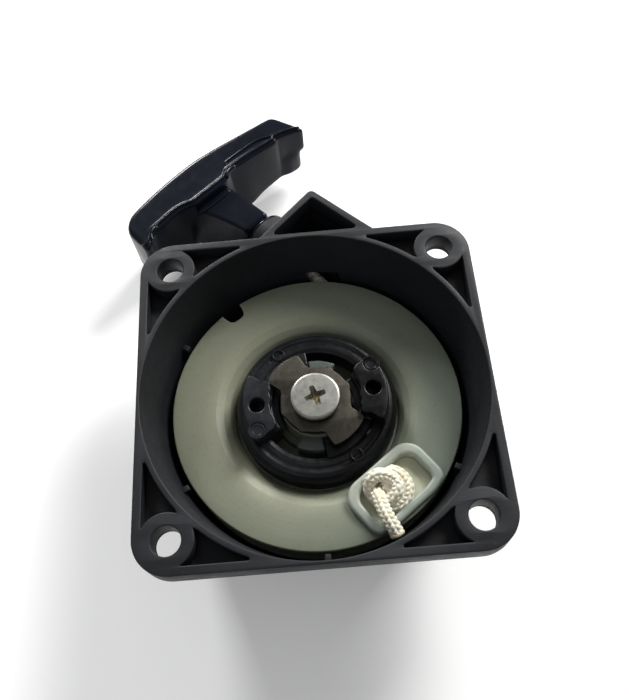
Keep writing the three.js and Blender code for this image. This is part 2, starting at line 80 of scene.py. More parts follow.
REEL_R, REEL_FACE, REEL_BACK = 38.2, 19.5, 7.2
WELL_R, DRUM_R = 22, 23.3
HUB_POST_R = 9.4
WEB_Z, WEB_TOP = 12.2, 13.8  # web of the reel
TRAY_R, TRAY_ANGLE = 30.35, -53.0  # middle of the knot's tray
TRAY_FLOOR, TRAY_LIP = 17.9, 21
NOTCH_ANGLE = 125.5  # notch in the reel's rim
ROPE_HOLE_AT, ROPE_HOLE_ANGLE, ROPE_HOLE_R = 27, -57, 2.2

HUB_R, HUB_BASE, HUB_FACE = 21.2, 14.1, 20.9
DOG_TOP = 26
HUB_BORE_R = 15.0
LAND_INNER, LAND_OUTER = 11.45, 15.3  # lands between the lost-motion slots
LUG_INNER, LUG_OUTER, LUG_FROM, LUG_TO, LUG_TOP = 9.1, 12.7, 63, 96.4, 20.3

PLATE_Z, PLATE_TOP = 22.9, 24.1
SHANK_R = 2.9
HEAD_R, HEAD_SEAT, HEAD_TOP = 6.55, 25, 26.4

GRIP_HALF, GRIP_LOW, GRIP_HIGH = 31.8, 5.4, 23.6
STEM_TIP, STEM_TOP, STEM_LOW = 54.4, 20.5, 8.4
BORE_R = 2.1  # rope's bore through the handle's stem
CHAMBER_R, CHAMBER_FLOOR = 6.9, 73.8  # knot chamber in the back of the handle

# ---------------------------------------------------------------- camera, lights, floor
CAMERA_AT = (3.637, -75.506, 204.97)
CAMERA_TURN = Vector((-0.458623174, -0.0338183924, 0.0805211393))
LENS = 38.89

camera_data = bpy.data.cameras.new("camera")
camera_data.lens = LENS
camera_data.sensor_width = 36
camera_data.clip_start = 0.01
camera = bpy.data.objects.new("camera", camera_data)
camera.location = Vector(CAMERA_AT) * MM
camera.rotation_mode = "QUATERNION"
camera.rotation_quaternion = Quaternion(CAMERA_TURN.normalized(), CAMERA_TURN.length).inverted()
bpy.context.scene.collection.objects.link(camera)
bpy.context.scene.camera = camera


def area_light(name, at, towards, size, power, colour):
    """A rectangular light, placed and sized in metres."""
    data = bpy.data.lights.new(name, "AREA")
    data.shape = "RECTANGLE"
    data.size, data.size_y = size
    data.energy = power
    data.color = colour
    light = bpy.data.objects.new(name, data)
    light.location = at
    aim = Vector(towards) - Vector(at)
    light.rotation_mode = "QUATERNION"
    light.rotation_quaternion = aim.to_track_quat("-Z", "Y")
    bpy.context.scene.collection.objects.link(light)


area_light("key", (0.42, 0.50, 0.46), (0, 0, 0.02), (0.34, 0.30), 8.0, (1.0, 0.995, 0.98))
area_light("rim", (-0.27, 0.66, 0.34), (-0.03, 0.07, 0.02), (0.14, 0.14), 4.5, (1.0, 1.0, 1.0))
area_light("front", (-0.35, -0.50, 0.45), (0, 0, 0.02), (0.5, 0.4), 0.6, (0.96, 0.98, 1.0))

world = bpy.data.worlds.new("studio")
world.use_nodes = True
world.node_tree.nodes["Background"].inputs["Color"].default_value = (1, 1, 1, 1)
world.node_tree.nodes["Background"].inputs["Strength"].default_value = 0.29
bpy.context.scene.world = world
bpy.context.scene.view_settings.view_transform = "Standard"


# ---------------------------------------------------------------- materials
WHITE, BLACK = (1, 1, 1), (0, 0, 0)
WEAVE_PITCH = 0.0024  # braid of the running rope, in metres
FLOW_LINES, TURNED_LINES = 0.0013, 0.0016  # pitch of the rings on the reel and the hub, in metres

# painted shade near the hub and a painted highlight ring on the dish, as a tone of the nylon outwards from
# the reel's axis, where 1 is 50 mm
NYLON_PAINTED_SHADE_AND_HIGHLIGHT = [(0.30, (0.50, 0.52, 0.50)), (0.44, (0.98, 0.98, 0.96)), (0.52, (1.20, 1.17, 1.10)),
              (0.60, (1.0, 1.0, 0.97)), (0.76, (0.94, 0.97, 0.95))]


class Shader:
    """A Principled material whose colour, roughness and bump come from procedural nodes."""

    def __init__(self, name, **sockets):
        self.material = bpy.data.materials.new(name)
        self.material.use_nodes = True
        self.tree = self.material.node_tree
        self.bsdf = self.tree.nodes["Principled BSDF"]
        for socket, value in sockets.items():
            self.bsdf.inputs[socket.replace("_", " ")].default_value = value
        self.coordinates = self.node("ShaderNodeTexCoord").outputs["Object"]
        self.normal = None

    def node(self, kind, **settings):
        node = self.tree.nodes.new(kind)
        for key, value in settings.items():
            setattr(node, key, value)
        return node

    def link(self, source, target):
        self.tree.links.new(source, target)

    def stretched(self, scale):
        mapping = self.node("ShaderNodeMapping")
        mapping.inputs["Scale"].default_value = scale
        self.link(self.coordinates, mapping.inputs["Vector"])
        return mapping.outputs["Vector"]

    def noise(self, scale, detail=4.0, roughness=0.55, stretch=None, distortion=0.0):
        noise = self.node("ShaderNodeTexNoise")
        noise.inputs["Scale"].default_value = scale
        noise.inputs["Detail"].default_value = detail
        noise.inputs["Roughness"].default_value = roughness
        noise.inputs["Distortion"].default_value = distortion
        self.link(self.stretched(stretch) if stretch else self.coordinates, noise.inputs["Vector"])
        return noise.outputs["Fac"]

    def place_x(self):
        split = self.node("ShaderNodeSeparateXYZ")
        self.link(self.coordinates, split.inputs[0])
        return split.outputs["X"]

    def place_along(self, direction):
        dot = self.node("ShaderNodeVectorMath", operation="DOT_PRODUCT")
        self.link(self.coordinates, dot.inputs[0])
        dot.inputs[1].default_value = direction
        return dot.outputs["Value"]

    def place_from_axis(self, scale=1):
        """The distance from the Z axis in metres, times scale."""
        length = self.node("ShaderNodeVectorMath", operation="LENGTH")
        self.link(self.stretched((scale, scale, 0)), length.inputs[0])
        return length.outputs["Value"]

    def rings(self, pitch):
        """Bands round the Z axis, pitch metres apart, for turned and moulded flow lines."""
        return self.maths("SINE", self.maths("MULTIPLY", self.place_from_axis(), TAU / pitch))

    def maths(self, operation, a, b=0.0, c=0.0):
        node = self.node("ShaderNodeMath", operation=operation)
        for i, value in enumerate((a, b, c)):
            if isinstance(value, (int, float)):
                node.inputs[i].default_value = value
            else:
                self.link(value, node.inputs[i])
        return node.outputs[0]

    def ramp(self, factor, stops):
        ramp = self.node("ShaderNodeValToRGB")
        elements = ramp.color_ramp.elements
        while len(elements) < len(stops):
            elements.new(0.5)
        for element, (place, colour) in zip(elements, stops):
            element.position = place
            element.color = (*colour, 1)
        self.link(factor, ramp.inputs["Fac"])
        return ramp.outputs["Color"]

    def mix(self, factor, a, b, blend="MIX"):
        mix = self.node("ShaderNodeMix", data_type="RGBA", blend_type=blend)
        for index, value in ((0, factor), (6, a), (7, b)):
            if isinstance(value, (int, float)):
                mix.inputs[index].default_value = value
            elif isinstance(value, tuple):
                mix.inputs[index].default_value = (*value, 1)
            else:
                self.link(value, mix.inputs[index])
        return mix.outputs[2]

    def spread(self, factor, low, high):
        """The middle of a noise, stretched to run from low to high."""
        spread = self.node("ShaderNodeMapRange")
        spread.inputs["From Min"].default_value = 0.3
        spread.inputs["From Max"].default_value = 0.7
        spread.inputs["To Min"].default_value = low
        spread.inputs["To Max"].default_value = high
        self.link(factor, spread.inputs["Value"])
        return spread.outputs["Result"]

    def colour(self, source):
        self.link(source, self.bsdf.inputs["Base Color"])

    def roughness(self, source):
        self.link(source, self.bsdf.inputs["Roughness"])

    def bump(self, height, distance, strength=1.0):
        bump = self.node("ShaderNodeBump")
        bump.inputs["Distance"].default_value = distance
        bump.inputs["Strength"].default_value = strength
        self.link(height, bump.inputs["Height"])
        if self.normal is not None:
            self.link(self.normal, bump.inputs["Normal"])
        self.normal = bump.outputs["Normal"]
        self.link(self.normal, self.bsdf.inputs["Normal"])


def moulded_black():
    """Matt black plastic with a fine grain and a little dust."""
    s = Shader("moulded_black", Specular_IOR_Level=0.30)
    cloud = s.noise(55, 3)
    grain = s.noise(2600, 2, 0.6)
    base = s.ramp(cloud, [(0.3, (0.0080, 0.0088, 0.0110)), (0.7, (0.0140, 0.0152, 0.0184))])
    dust = s.ramp(s.noise(420, 6, 0.75), [(0.62, BLACK), (0.85, (0.03, 0.03, 0.03))])
    s.colour(s.mix(1.0, base, dust, "ADD"))
    s.roughness(s.spread(s.noise(240, 5, 0.7), 0.42, 0.62))
    s.bump(grain, 0.00006, 0.7)
    s.bump(s.noise(330, 2), 0.00008, 0.35)
    return s.material


def glossy_black():
    s = Shader("glossy_black", Specular_IOR_Level=0.13)
    s.colour(s.ramp(s.noise(70, 3), [(0.3, (0.0045, 0.0056, 0.0100)), (0.7, (0.0075, 0.0092, 0.0150))]))
    s.roughness(s.spread(s.noise(300, 5, 0.7), 0.15, 0.26))
    s.bump(s.noise(130, 2), 0.00014, 0.35)
    s.bump(s.noise(1500, 3), 0.00002, 0.5)
    return s.material


def natural_nylon(name, left, middle, right, depth=0.0025):
    """Undyed nylon that light sinks into; its tone runs from painted light on the left to painted shade on
    the right, and away from the axis it carries a painted shade near the hub and a painted highlight ring.
    """
    s = Shader(name, Specular_IOR_Level=0.4, Subsurface_Weight=0.35, Subsurface_Scale=depth)
    s.bsdf.inputs["Subsurface Radius"].default_value = (1.0, 1.0, 0.75)
    # painted light towards -X and painted shade towards +X
    across = s.maths("MULTIPLY_ADD", s.place_x(), 9.0, 0.5)
    uneven = s.maths("MULTIPLY_ADD", s.noise(35, 3), 0.5, -0.25)
    tone = s.ramp(s.maths("ADD", across, uneven), [(0.1, left), (0.55, middle), (0.95, right)])
    # painted shade near the hub and a painted highlight ring round the dish
    tone = s.mix(1.0, tone, s.ramp(s.place_from_axis(20), NYLON_PAINTED_SHADE_AND_HIGHLIGHT), "MULTIPLY")
    speck = s.ramp(s.noise(900, 5, 0.7), [(0.25, (0.80, 0.80, 0.76)), (0.45, WHITE)])
    s.colour(s.mix(1.0, tone, speck, "MULTIPLY"))
    s.roughness(s.spread(s.noise(160, 5, 0.65), 0.34, 0.5))
    s.bump(s.rings(FLOW_LINES), 0.000005, 0.4)
    s.bump(s.noise(480, 3), 0.00004, 0.5)
    return s.material


def hub_black():
    """Black plastic with painted light towards -X and painted shade towards +X."""
    s = Shader("hub_black", Specular_IOR_Level=0.22)
    base = s.ramp(s.noise(150, 4, 0.65), [(0.3, (0.0028, 0.0031, 0.0039)), (0.7, (0.0070, 0.0077, 0.0096))])
    # painted light on the -X side of the hub and painted shade on its +X side
    across = s.maths("MULTIPLY_ADD", s.place_x(), 24.0, 0.5)
    painted_light_and_shade = s.ramp(across, [(0.1, (2.4, 2.4, 2.3)), (0.5, WHITE), (0.9, (0.3, 0.3, 0.3))])
    s.colour(s.mix(1.0, base, painted_light_and_shade, "MULTIPLY"))
    s.roughness(s.spread(s.noise(520, 5, 0.7), 0.24, 0.46))
    s.bump(s.rings(TURNED_LINES), 0.000006, 0.4)
    s.bump(s.noise(700, 4, 0.6), 0.00007, 0.5)
    s.bump(s.noise(190, 3), 0.00015, 0.4)
    return s.material


def metal(name, dark, light, rough, stretch=None, scale=500.0, depth=0.00002):
    """Stained and scratched metal; rough is its least and greatest roughness."""
    s = Shader(name, Metallic=1.0)
    stain = s.noise(120, 5, 0.65, distortion=0.6)
    scratch = s.noise(scale, 4, 0.7, stretch)
    s.colour(s.mix(s.spread(scratch, 0.0, 0.55), s.ramp(stain, [(0.3, dark), (0.68, light)]), light))
    s.roughness(s.spread(scratch, *rough))
    s.bump(scratch, depth, 0.6)
    return s.material


def rope_fibre(name, tint, deep, axis=None):
    """Nylon fibre; axis adds a braid that keeps its scale along that direction when the rope runs out."""
    s = Shader(name, Specular_IOR_Level=0.4, Sheen_Weight=0.35, Sheen_Roughness=0.4)
    fibre = s.noise(5200, 3, 0.7)
    s.colour(s.mix(s.spread(s.noise(260, 3), 0.0, 1.0), deep, tint))
    s.roughness(s.spread(fibre, 0.55, 0.8))
    s.bump(fibre, 0.00007, 0.8)
    if axis:
        along = s.maths("MULTIPLY", s.place_along(axis), TAU / WEAVE_PITCH)
        over = s.maths("MULTIPLY", s.place_along((-axis[1] * 0.7, axis[0] * 0.7, 0.9)), TAU / WEAVE_PITCH)
        one = s.maths("SINE", s.maths("ADD", along, over))
        two = s.maths("SINE", s.maths("SUBTRACT", along, over))
        s.bump(s.maths("MAXIMUM", one, two), 0.00022, 0.9)
    return s.material


def pale_floor():
    s = Shader("pale_floor", Roughness=0.75, Specular_IOR_Level=0.2, Emission_Strength=0.12)
    s.bsdf.inputs["Emission Color"].default_value = (1, 1, 1, 1)
    s.colour(s.ramp(s.noise(3, 2), [(0.3, (0.93, 0.93, 0.93)), (0.7, (0.95, 0.95, 0.95))]))
    return s.material


PULL = math.radians(PULL_ANGLE)
PULL_AXIS = (math.cos(PULL), math.sin(PULL), 0.0)
LOOK = {
    "housing": moulded_black(),
    "grip": glossy_black(),
    # the reel's colours run from painted light on the left to painted shade on the right
    "reel": natural_nylon("natural_nylon", (0.222, 0.224, 0.166), (0.186, 0.202, 0.156),
                          (0.138, 0.164, 0.134)),
    # a lighter copy of the reel's nylon: painted light on the tray's lip, darker towards +X as painted shade
    "tray": natural_nylon("painted_light_lip_nylon", (0.310, 0.335, 0.298), (0.290, 0.318, 0.284),
                          (0.262, 0.292, 0.262), 0.005),
    # a much lighter copy of the reel's nylon: painted light on the tray's floor, which lies in the lip's
    # shadow
    "tray_floor": natural_nylon("painted_light_floor_nylon", (0.62, 0.62, 0.48), (0.62, 0.62, 0.48), (0.56, 0.57, 0.45)),
    # a darker copy of the reel's nylon: painted shade on the lugs, darker still towards +X
    "lug": natural_nylon("shaded_nylon", (0.125, 0.150, 0.142), (0.125, 0.150, 0.142),
                         (0.088, 0.106, 0.100)),
    "hub": hub_black(),
    "plate": metal("punched_steel", (0.040, 0.037, 0.030), (0.066, 0.061, 0.050), (0.36, 0.50),
                   (1, 0.6, 1), 900),
    "screw": metal("zinc", (0.215, 0.215, 0.195), (0.300, 0.300, 0.272), (0.40, 0.56), None, 700, 0.00003),
    "dark_steel": metal("oiled_steel", (0.06, 0.057, 0.052), (0.14, 0.135, 0.125), (0.3, 0.5)),
    "spring_steel": metal("blued_steel", (0.10, 0.11, 0.14), (0.22, 0.23, 0.26), (0.22, 0.4), (1, 1, 0.15)),
    "yellow_zinc": metal("yellow_zinc", (0.20, 0.155, 0.07), (0.36, 0.29, 0.15), (0.35, 0.55)),
    "brass": metal("brass", (0.45, 0.33, 0.13), (0.62, 0.48, 0.22), (0.25, 0.45)),
    "rope": rope_fibre("rope_fibre", (0.82, 0.80, 0.69), (0.68, 0.63, 0.47)),
    "rope_run": rope_fibre("rope_braid", (0.74, 0.71, 0.60), (0.60, 0.55, 0.42), PULL_AXIS),
    "rope_cut": rope_fibre("rope_melted_end", (0.72, 0.66, 0.45), (0.58, 0.48, 0.27)),
    "guide": glossy_black(),
}


# ---------------------------------------------------------------- shape helpers (millimetres)
NEARLY_STRAIGHT = math.radians(172)
WELD, SLIVER = 1e-6, 1e-7  # metres
GRAIN_STAGGER, GRAIN_LEAN = 0.25, 0.42  # of the pitch, to either side by turns
GRAIN_LEVEL = 0.75  # the part of a grain's height that lies inside the rope's radius
END_R = 0.72  # of the radius, at the tip of a rounded end


def polar(r, degrees):
    a = math.radians(degrees)
    return (r * math.cos(a), r * math.sin(a))


def soften(points, radius, closed=False, steps=4):
    """Rounds the corners of a line of 2-D points."""
    points = [Vector(p) for p in points]
    count = len(points)
    out = []
    for i, corner in enumerate(points):
        if not closed and i in (0, count - 1):
            out.append(tuple(corner))
            continue
        back, ahead = points[i - 1] - corner, points[(i + 1) % count] - corner
        if back.length < TINY or ahead.length < TINY:
            continue
        angle = back.angle(ahead)
        if angle > NEARLY_STRAIGHT:
            out.append(tuple(corner))
            continue
        reach = min(radius / math.tan(angle / 2), 0.45 * back.length, 0.45 * ahead.length)
        start, end = corner + back.normalized() * reach, corner + ahead.normalized() * reach
        for k in range(steps + 1):
            t = k / steps
            out.append(tuple((1 - t) ** 2 * start + 2 * t * (1 - t) * corner + t * t * end))
    return out


def lathe(profile, segments=160):
    """A closed solid turned about Z from [radius, z] points; points on the axis close it."""
    rings, verts = [], []
    for r, z in profile:
        if r < TINY:
            rings.append([len(verts)])
            verts.append((0.0, 0.0, z))
            continue
        rings.append(list(range(len(verts), len(verts) + segments)))
        verts += [(*polar(r, 360 * k / segments), z) for k in range(segments)]
    faces = []
    pairs = list(zip(rings, rings[1:]))
    if profile[0][0] > TINY:
        pairs.append((rings[-1], rings[0]))
    for a, b in pairs:
        for k in range(segments):
            n = (k + 1) % segments
            if len(a) == 1 and len(b) == 1:
                continue
            if len(a) == 1:
                faces.append((a[0], b[n], b[k]))
            elif len(b) == 1:
                faces.append((a[k], a[n], b[0]))
            else:
                faces.append((a[k], a[n], b[n], b[k]))
    return verts, faces


def plate(loops, bottom, top, bevel=0.35, rounds=2):
    """A flat plate with any holes, its edges rounded; the first loop is the outline."""
    curve = bpy.data.curves.new("plate", "CURVE")
    curve.dimensions = "2D"
    curve.fill_mode = "BOTH"
    for loop in loops:
        spline = curve.splines.new("POLY")
        spline.points.add(len(loop) - 1)
        for point, (x, y) in zip(spline.points, loop):
            point.co = (x, y, 0, 1)
        spline.use_cyclic_u = True
    curve.extrude = (top - bottom) / 2 - bevel
    curve.bevel_depth = bevel
    curve.bevel_resolution = rounds
    curve.offset = -bevel
    holder = bpy.data.objects.new("plate", curve)
    bpy.context.scene.collection.objects.link(holder)
    bpy.context.view_layer.update()
    mesh = bpy.data.meshes.new_from_object(holder.evaluated_get(bpy.context.evaluated_depsgraph_get()))
    middle = (top + bottom) / 2
    verts = [(v.co.x, v.co.y, v.co.z + middle) for v in mesh.vertices]
    faces = [tuple(p.vertices) for p in mesh.polygons]
    bpy.data.objects.remove(holder)
    bpy.data.curves.remove(curve)
    bpy.data.meshes.remove(mesh)
    return verts, faces


def loft(sections):
    """A closed solid through rings of equal length, with its two ends filled."""
    count = len(sections[0])
    verts = [tuple(p) for ring in sections for p in ring]
    faces = []
    for i in range(len(sections) - 1):
        for k in range(count):
            n = (k + 1) % count
            faces.append((i * count + k, i * count + n, (i + 1) * count + n, (i + 1) * count + k))
    faces.append(tuple(reversed(range(count))))
    faces.append(tuple(range((len(sections) - 1) * count, len(sections) * count)))
    return verts, faces


def resampled(points, step):
    """Evenly spaced points on a smooth curve through the given ones."""
    p = np.array(points, float)
    dense = []
    ext = np.vstack([2 * p[0] - p[1], p, 2 * p[-1] - p[-2]])
    for i in range(len(p) - 1):
        a, b, c, d = ext[i : i + 4]
        t = np.linspace(0, 1, 24, endpoint=False)[:, None]
        dense.append(0.5 * (2 * b + (c - a) * t + (2 * a - 5 * b + 4 * c - d) * t**2
                            + (3 * b - a - 3 * c + d) * t**3))
    dense = np.vstack([*dense, p[-1:]])
    along = np.concatenate([[0], np.cumsum(np.linalg.norm(np.diff(dense, axis=0), axis=1))])
    places = np.linspace(0, along[-1], max(2, int(along[-1] / step)))
    return np.stack([np.interp(places, along, dense[:, k]) for k in range(3)], axis=1), places


def tube(points, radius, sides=24, step=0.3, braid=0.0, pitch=1.25, starts=4, ends=0.0):
    """A round cord along points.

    braid is the height of its plaited grains, in 2 * starts columns that lean to either side by turns.
    ends is the length over which each end is rounded.
    """
    path, along = resampled(points, step)
    tangent = np.gradient(path, axis=0)
    tangent /= np.linalg.norm(tangent, axis=1)[:, None]
    up = np.array([0.0, 0.0, 1.0]) if abs(tangent[0][2]) < 0.9 else np.array([1.0, 0.0, 0.0])
    side = np.cross(up, tangent[0])
    rings = []
    theta = np.arange(sides) * TAU / sides
    column = np.floor(theta * 2 * starts / TAU)
    across = theta * 2 * starts / TAU - column - 0.5
    lean = np.where(column % 2 == 0, 1.0, -1.0)
    for i, (place, t) in enumerate(zip(path, tangent)):
        side = side - t * side.dot(t)
        side /= np.linalg.norm(side)
        other = np.cross(t, side)
        down = along[i] / pitch + lean * (GRAIN_STAGGER + GRAIN_LEAN * across)
        grain = np.cos(math.pi * across) * np.cos(math.pi * (down - np.round(down)))
        r = radius + braid * (np.clip(grain, 0, 1) ** 0.7 - GRAIN_LEVEL)
        from_end = min(along[i], along[-1] - along[i])
        if ends and from_end < ends:
            r = r * (END_R + (1 - END_R) * math.sqrt(1 - (1 - from_end / ends) ** 2))
        ring = place + np.outer(r * np.cos(theta), side) + np.outer(r * np.sin(theta), other)
        rings.append(ring)
    return loft(rings)


def placed(shape, turn=0.0, shift=(0, 0, 0), about=None):
    """The shape turned about Z in degrees, or by a matrix, and then shifted."""
    matrix = about or Matrix.Rotation(math.radians(turn), 4, "Z")
    matrix = Matrix.Translation(shift) @ matrix
    return [tuple(matrix @ Vector(v)) for v in shape[0]], shape[1]


def joined(*shapes):
    """Several shapes as one, each still a closed solid."""
    verts, faces = [], []
    for shape in shapes:
        base = len(verts)
        verts += shape[0]
        faces += [tuple(base + i for i in face) for face in shape[1]]
    return verts, faces


def as_object(shape, name="temporary"):
    """The shape as a Blender object in metres, with its points welded and its faces turned outwards."""
    mesh = bpy.data.meshes.new(name)
    mesh.from_pydata([Vector(v) * MM for v in shape[0]], [], shape[1])
    mesh.validate()
    work = bmesh.new()
    work.from_mesh(mesh)
    bmesh.ops.remove_doubles(work, verts=work.verts, dist=WELD)
    bmesh.ops.dissolve_degenerate(work, dist=SLIVER, edges=work.edges)
    bmesh.ops.recalc_face_normals(work, faces=work.faces)
    work.to_mesh(mesh)
    work.free()
    holder = bpy.data.objects.new(name, mesh)
    bpy.context.scene.collection.objects.link(holder)
    return holder


def cut(shape, *cutters):
    """The shape with every cutter taken out of it."""
    base = as_object(shape)
    tools = [as_object(cutter) for cutter in cutters]
    for tool in tools:
        modifier = base.modifiers.new("cut", "BOOLEAN")
        modifier.operation = "DIFFERENCE"
        modifier.solver = "MANIFOLD"
        modifier.object = tool
    bpy.context.view_layer.update()
    mesh = bpy.data.meshes.new_from_object(base.evaluated_get(bpy.context.evaluated_depsgraph_get()))
    verts = [tuple(v.co / MM) for v in mesh.vertices]
    faces = [tuple(p.vertices) for p in mesh.polygons]
    for item in [base, *tools]:
        data = item.data
        bpy.data.objects.remove(item)
        bpy.data.meshes.remove(data)
    bpy.data.meshes.remove(mesh)
    return verts, faces


def piece(name, shape, body, look, *nodes, sharp=38, slot=None):
    """A finished piece of the object, shaded smooth but for its sharp edges."""
    made = as_object(shape, name)
    work = bmesh.new()
    work.from_mesh(made.data)
    for face in work.faces:
        face.smooth = True
    for edge in work.edges:
        edge.smooth = len(edge.link_faces) == 2 and edge.calc_face_angle(0.0) < math.radians(sharp)
    work.to_mesh(made.data)
    work.free()
    made.data.materials.append(LOOK[look])
    if nodes:
        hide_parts(*nodes)
    if body:
        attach(made, body)
    return made


# ---------------------------------------------------------------- shapes used in several pieces
PULL_TURN = (Matrix.Translation((*polar(PULL_RADIUS, PULL_ANGLE - 90), 0))
             @ Matrix.Rotation(math.radians(PULL_ANGLE - 90), 4, "Z"))


def on_pull(shape):
    """From the pull frame (X across, Y along the pull) to the object's frame."""
    return [tuple(PULL_TURN @ Vector(v)) for v in shape[0]], shape[1]


def on_rope_line(shape):
    """A shape turned about Z laid along the rope's line, still in the pull frame."""
    return placed(shape, about=Matrix.Rotation(-math.pi / 2, 4, "X"), shift=(0, 0, ROPE_Z))


def along_pull(shape):
    return on_pull(on_rope_line(shape))


def circle(r, x=0.0, y=0.0, steps=64, start=0.0, sweep=360.0):
    """A circle, or an arc of it that starts and sweeps in degrees."""
    whole = abs(sweep) >= 360
    count = steps if whole else steps + 1
    ring = [polar(r, start + sweep * k / steps) for k in range(count)]
    return [(x + px, y + py) for px, py in ring]


def rectangle(x0, y0, x1, y1):
    return [(x0, y0), (x1, y0), (x1, y1), (x0, y1)]


def sector(inner, outer, start, end, corner=0.5, steps=24):
    """A stretch of a ring, from start to end degrees, with rounded corners."""
    loop = circle(outer, steps=steps, start=start, sweep=end - start)
    loop += circle(inner, steps=steps, start=end, sweep=start - end)
    return soften(loop, corner, closed=True, steps=3)


def corner_arcs(half_width, half_length, r, steps):
    """The four rounded corners of a rectangle, anticlockwise from the one at +X +Y."""
    w, h = half_width - r, half_length - r
    middles = [(w, h), (-w, h), (-w, -h), (w, -h)]
    return [circle(r, x, y, steps, 90 * k, 90) for k, (x, y) in enumerate(middles)]


def rotated(loop, degrees):
    c, s = math.cos(math.radians(degrees)), math.sin(math.radians(degrees))
    return [(c * x - s * y, s * x + c * y) for x, y in loop]


# ---------------------------------------------------------------- housing
POCKET_TIP = 17.2  # where a corner pocket starts, along the flange from its middle


def horn_edge():
    return soften([RIGHT_ROOT, APEX, LEFT_ROOT], 1.6, steps=6)


def horn_hollow():
    return soften(HORN_HOLLOW, 0.9, closed=True, steps=4)


def rim_outline(grow=0.0):
    """The square flange with the horn standing out of its far side."""
    first, *others = corner_arcs(SIDE + grow, SIDE + grow, CORNER_R, 14)
    return first + horn_edge() + sum(others, [])


def corner_pocket():
    """The hollow beside one screw boss, between the flange's skin and the cup."""
    skin_y, cup_r = SIDE - SKIN, CUP_OUT_R + 0.2
    reach = math.sqrt(BOSS_R**2 - (skin_y - HOLE_AT) ** 2)
    start = math.degrees(math.atan2(skin_y - HOLE_AT, -reach))
    round_boss = circle(BOSS_R, HOLE_AT, HOLE_AT, 16, start, 96)
    boss = [(x, y) for x, y in round_boss if math.hypot(x, y) > cup_r + 0.2]
    wall_from = math.degrees(math.atan2(boss[-1][1], boss[-1][0])) + 1.5
    wall_to = math.degrees(math.acos(POCKET_TIP / cup_r))
    wall = circle(cup_r, steps=14, start=wall_from, sweep=wall_to - wall_from)
    return soften([(POCKET_TIP, skin_y), *boss, *wall], 0.35, closed=True, steps=2)


def flange():
    """The flange's walls, and the floor of its pockets."""
    holes = [circle(HOLE_R, sx * HOLE_AT, sy * HOLE_AT, 48) for sx in (1, -1) for sy in (1, -1)]
    one = corner_pocket()
    other = [(y, x) for x, y in one]
    pockets = [rotated(loop, turn) for turn in (0, 90, 180, 270) for loop in (one, other)]
    mouth, wide_mouth = circle(CUP_IN_R, steps=192), circle(CUP_IN_R + 0.4, steps=192)
    walls = plate([rim_outline(), mouth, horn_hollow(), *holes, *pockets], FLANGE_BACK, RIM_Z, 0.3)
    outlines = [rim_outline(-0.02), wide_mouth, horn_hollow(), *holes]
    floors = plate(outlines, FLANGE_BACK - 0.02, POCKET_FLOOR, 0.3)
    return joined(walls, floors)


def cup(window):
    inside = [*CUP_INSIDE, (36, CUP_FLOOR), (0, CUP_FLOOR)]
    profile = soften([(0, 0), *CUP_OUTSIDE, (43.9, 34.0), (43.2, 34.0), *inside], 1.6, steps=5)
    back_groove = lathe(soften(rectangle(13, -1, 14.5, 0.8), 0.2, True), 96)
    return cut(lathe(profile, 192), window, back_groove)


def horn(window):
    """The hollow horn beside the cup, and the boss that holds the rope guide."""
    behind = [polar(38.5, a) for a in np.linspace(116.5, 55.0, 24)]
    body = plate([[(26.0, 37.6), *horn_edge(), (-18.2, 37.4), *behind]], HORN_BOTTOM, HORN_TOP, 0.4)
    cup_wall = [(r + 0.35, z) for r, z in reversed(CUP_INSIDE)]
    cavity = lathe([(0, 3), (37.5, 3), *cup_wall, (CUP_IN_R, 31), (0, 31)], 192)
    hollow = plate([horn_hollow()], HORN_FLOOR, 40, 0.2)
    bore = along_pull(lathe(rectangle(0, 36, GUIDE_BORE_R, 56), 64))
    boss_profile = soften(rectangle(0, GUIDE_BOSS_FROM, GUIDE_BOSS_R, GUIDE_BOSS_TO), 0.5, steps=4)
    boss = along_pull(lathe(boss_profile, 96))
    return joined(cut(body, cavity, hollow, window, bore), cut(boss, bore))


def housing():
    window = on_pull(plate([soften(rectangle(-3.4, 22, 3.4, 37), 0.8, True)], 8.5, 20.4, 0.2))
    nub = plate([soften(rectangle(38.9, -0.8, 40.9, 0.8), 0.4, True)], 12, 20.3, 0.25)
    nubs = [placed(nub, angle) for angle in (150, 210, 270, 330)]
    socket = [(4.4, 8.8), (4.4, POST_TOP)]
    post = lathe(soften([*socket, (POST_R, POST_TOP), (POST_R, 2.2), (0, 2.2), (0, 8.8)], 0.3), 96)
    spring_seat = lathe(rectangle(28, 2.2, 29.4, 5), 128)
    shape = joined(flange(), cup(window), horn(window), *nubs, post, spring_seat)
    piece("housing_moulding", shape, "housing", "housing", "housing", sharp=42)


# ---------------------------------------------------------------- reel
def on_tray(width, length, corner, limit=37.95):
    """A rounded box in the tray's place on the reel, kept clear of the reel's rim and of its well."""
    out = []
    box = sum(corner_arcs(width / 2, length / 2, corner, 10), [])
    for x, y in rotated([(x + TRAY_R, y) for x, y in box], TRAY_ANGLE):
        r = math.hypot(x, y)
        k = min(1.0, limit / r) * max(1.0, (WELL_R + 0.5) / r)
        out.append((x * k, y * k))
    return out


def reel_profile():
    """The reel's section: its post, dished face, rim, drum and bore."""
    post = [(6.6, 21.6), (HUB_POST_R, 21.6), (HUB_POST_R, 15.5), (11.3, 15.5), (11.3, WEB_TOP),
            (WELL_R, WEB_TOP)]
    dish = [(WELL_R, 15.0), (23.2, 16.6), (24.8, 17.8), (26.8, 18.6), (29, 19.1), (31.5, 19.35),
            (34.5, REEL_FACE)]
    rim = [(REEL_R, REEL_FACE), (REEL_R, 18.1), (31, 17.9), (26.8, 17.2)]
    drum = [(DRUM_R, 16), (DRUM_R, 8.6), (38.0, 8.6), (38.0, REEL_BACK), (WELL_R, REEL_BACK)]
    bore = [(WELL_R, WEB_Z), (8.8, WEB_Z), (8.8, 3.6), (6.6, 3.6)]
    return soften([*post, *dish, *rim, *drum, *bore], 0.45, closed=True, steps=3)


